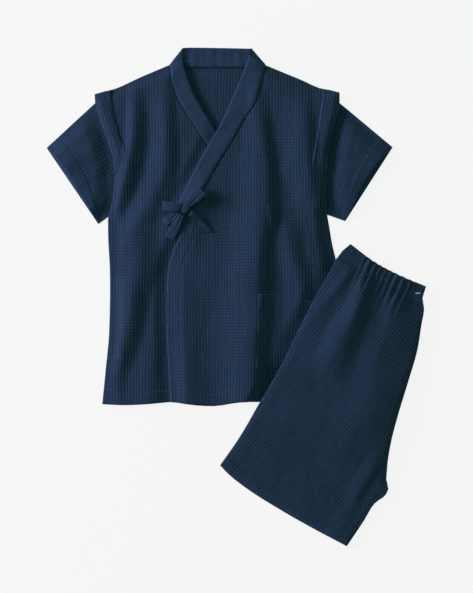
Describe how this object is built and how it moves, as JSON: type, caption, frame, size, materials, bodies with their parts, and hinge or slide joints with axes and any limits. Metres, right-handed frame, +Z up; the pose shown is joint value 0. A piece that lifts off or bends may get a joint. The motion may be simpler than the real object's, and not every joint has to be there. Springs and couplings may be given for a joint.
{
  "type": "jinbei set",
  "caption": "Child's navy jinbei set laid flat: short-sleeved wrap top tied in a bow, patch pocket, and elastic-waist shorts folded beside it.",
  "frame": {"origin": "bottom centre of the whole set as laid out, on the surface it lies on", "axes": "+Z up from the surface, +Y from the hem towards the collar, +X to the right as seen from above"},
  "size_m": [0.5111, 0.6721, 0.0235],
  "materials": {
    "waffle_cotton": "navy waffle crepe cotton, matt, crinkled in small ribs",
    "plain_cotton": "navy plain-weave cotton, matt"
  },
  "bodies": {
    "root": {"back_panel": "waffle_cotton", "front_under": "waffle_cotton", "front_over": "waffle_cotton", "shoulder_tuck_left": "waffle_cotton", "shoulder_tuck_right": "waffle_cotton", "pocket": "waffle_cotton", "sleeve_left": "waffle_cotton", "sleeve_right": "waffle_cotton", "shorts_leg": "waffle_cotton", "shorts_hidden_layers": "waffle_cotton", "shorts_waistband": "waffle_cotton", "collar_back_neck": "plain_cotton", "collar_left": "plain_cotton", "collar_right": "plain_cotton", "bow_knot": "plain_cotton", "bow_loop_upper": "plain_cotton", "bow_loop_left": "plain_cotton", "bow_tail_right": "plain_cotton", "bow_tail_lower": "plain_cotton"}
  },
  "joints": []
}
